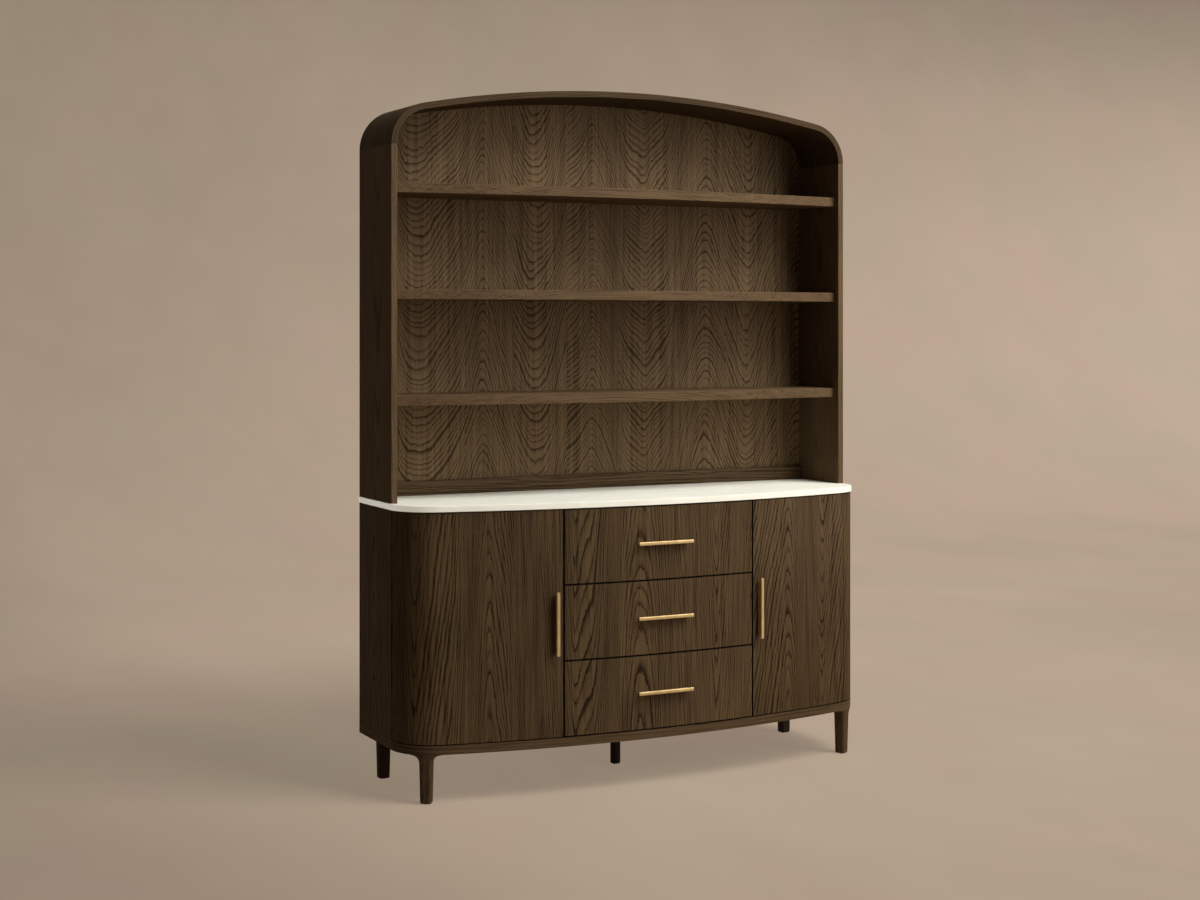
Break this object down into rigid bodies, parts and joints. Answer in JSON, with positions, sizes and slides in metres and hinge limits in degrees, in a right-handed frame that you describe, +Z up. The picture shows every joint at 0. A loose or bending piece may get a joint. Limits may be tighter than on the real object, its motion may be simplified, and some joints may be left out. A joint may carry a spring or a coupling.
{
  "type": "dresser with hutch",
  "caption": "Bow-fronted sideboard with bent wrap-round doors, drawers and a stone top, carrying an open hutch with bowed shelves under an arched top.",
  "frame": {"origin": "on the floor, in the middle of the whole object's plan", "axes": "+X to the right seen from the front, -Y out of the front, +Z up"},
  "size_m": [1.758, 0.557, 2.3268],
  "materials": {
    "oak": "dark stained oak veneer under satin lacquer",
    "drawer_wood": "clear lacquered beech and birch ply",
    "stone": "honed cream marble",
    "brass": "satin brushed brass",
    "steel": "zinc plated steel",
    "catch_plastic": "moulded dark brown",
    "felt": "dense felt"
  },
  "bodies": {
    "carcass": {"foot_pads": "felt", "leg_center": "oak", "leg_tenons": "drawer_wood", "plinth_front_rail": "oak", "plinth_rear_rail": "oak", "plinth_stretchers": "oak", "base_bottom_panel": "oak", "base_sub_top": "oak", "base_back_panel": "oak", "stone_top": "stone", "cupboard_shelf_battens": "oak", "drawer_runner_channels": "steel", "door_pivot_plates": "steel", "door_catches": "catch_plastic", "hutch_arch": "oak", "hutch_back_panel": "oak", "hutch_back_rail": "oak", "hutch_tenons": "drawer_wood", "hutch_bolts": "steel", "leg_front_left": "oak", "leg_rear_left": "oak", "plinth_left_rail": "oak", "base_left_side": "oak", "left_divider": "oak", "left_cupboard_shelf": "oak", "hutch_left_side": "oak", "leg_front_right": "oak", "leg_rear_right": "oak", "plinth_right_rail": "oak", "base_right_side": "oak", "right_divider": "oak", "right_cupboard_shelf": "oak", "hutch_right_side": "oak", "hutch_shelf_lower": "oak", "hutch_shelf_middle": "oak", "hutch_shelf_upper": "oak"},
    "left_door": {"left_door": "oak", "left_door_pull": "brass", "left_door_fittings": "steel"},
    "right_door": {"right_door": "oak", "right_door_pull": "brass", "right_door_fittings": "steel"},
    "lower_drawer": {"lower_drawer_front": "oak", "lower_drawer_sides": "drawer_wood", "lower_drawer_back": "drawer_wood", "lower_drawer_bottom": "drawer_wood", "lower_drawer_pull": "brass", "lower_drawer_runners": "steel"},
    "middle_drawer": {"middle_drawer_front": "oak", "middle_drawer_sides": "drawer_wood", "middle_drawer_back": "drawer_wood", "middle_drawer_bottom": "drawer_wood", "middle_drawer_pull": "brass", "middle_drawer_runners": "steel"},
    "upper_drawer": {"upper_drawer_front": "oak", "upper_drawer_sides": "drawer_wood", "upper_drawer_back": "drawer_wood", "upper_drawer_bottom": "drawer_wood", "upper_drawer_pull": "brass", "upper_drawer_runners": "steel"}
  },
  "joints": [
    {"name": "left_door_hinge", "type": "hinge", "parent": "carcass", "child": "left_door", "pos_m": [-0.86451, -0.035, 0.56], "axis": [0, 0, -1], "range_deg": [0, 110]},
    {"name": "right_door_hinge", "type": "hinge", "parent": "carcass", "child": "right_door", "pos_m": [0.86451, -0.035, 0.56], "axis": [0, 0, 1], "range_deg": [0, 110]},
    {"name": "lower_drawer_slide", "type": "slide", "parent": "carcass", "child": "lower_drawer", "axis": [0, -1, 0], "range_m": [0, 0.3]},
    {"name": "middle_drawer_slide", "type": "slide", "parent": "carcass", "child": "middle_drawer", "axis": [0, -1, 0], "range_m": [0, 0.3]},
    {"name": "upper_drawer_slide", "type": "slide", "parent": "carcass", "child": "upper_drawer", "axis": [0, -1, 0], "range_m": [0, 0.3]}
  ]
}
